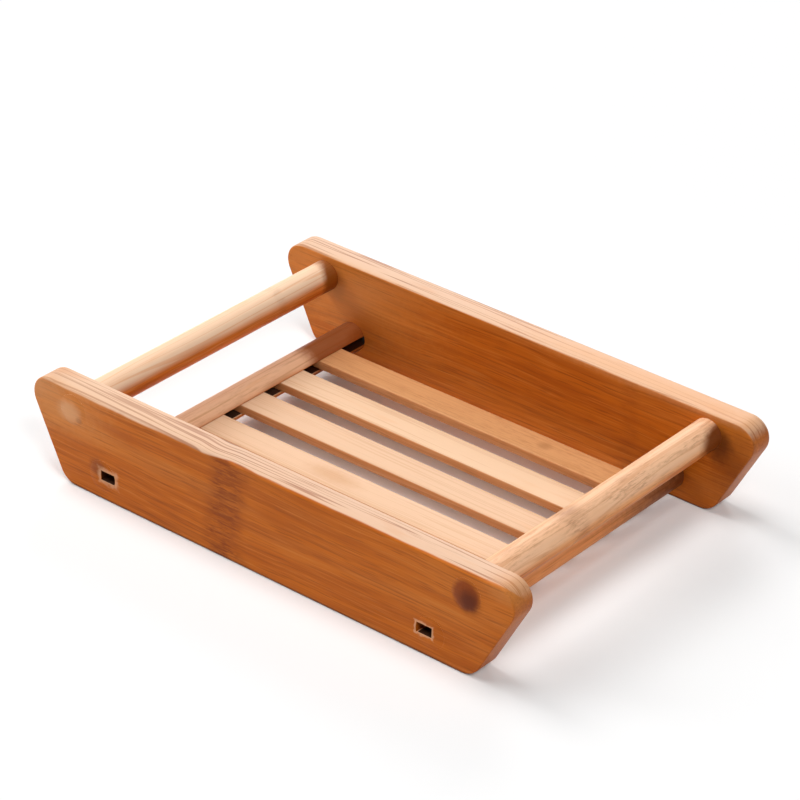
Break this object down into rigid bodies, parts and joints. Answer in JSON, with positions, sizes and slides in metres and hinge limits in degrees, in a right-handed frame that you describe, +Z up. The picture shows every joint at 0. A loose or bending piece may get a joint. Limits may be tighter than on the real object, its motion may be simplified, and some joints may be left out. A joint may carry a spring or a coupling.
{
  "type": "soap dish",
  "caption": "Open bamboo soap dish with tapered side boards, round cross rails and a slatted floor that lets water drain.",
  "frame": {"origin": "on the table, below the middle of the dish", "axes": "+X along the side boards, +Y from the front board to the back board, +Z up"},
  "size_m": [0.121, 0.084, 0.0222],
  "materials": {
    "side_board_bamboo": "sanded caramel bamboo, satin",
    "rail_bamboo": "turned bamboo, satin",
    "slat_bamboo": "planed pale bamboo, satin"
  },
  "bodies": {
    "root": {"front_side_board": "side_board_bamboo", "back_side_board": "side_board_bamboo", "left_top_rail": "rail_bamboo", "right_top_rail": "rail_bamboo", "left_slat_rail": "rail_bamboo", "right_slat_rail": "rail_bamboo", "slat_1": "slat_bamboo", "slat_2": "slat_bamboo", "slat_3": "slat_bamboo", "slat_4": "slat_bamboo", "slat_5": "slat_bamboo"}
  },
  "joints": []
}
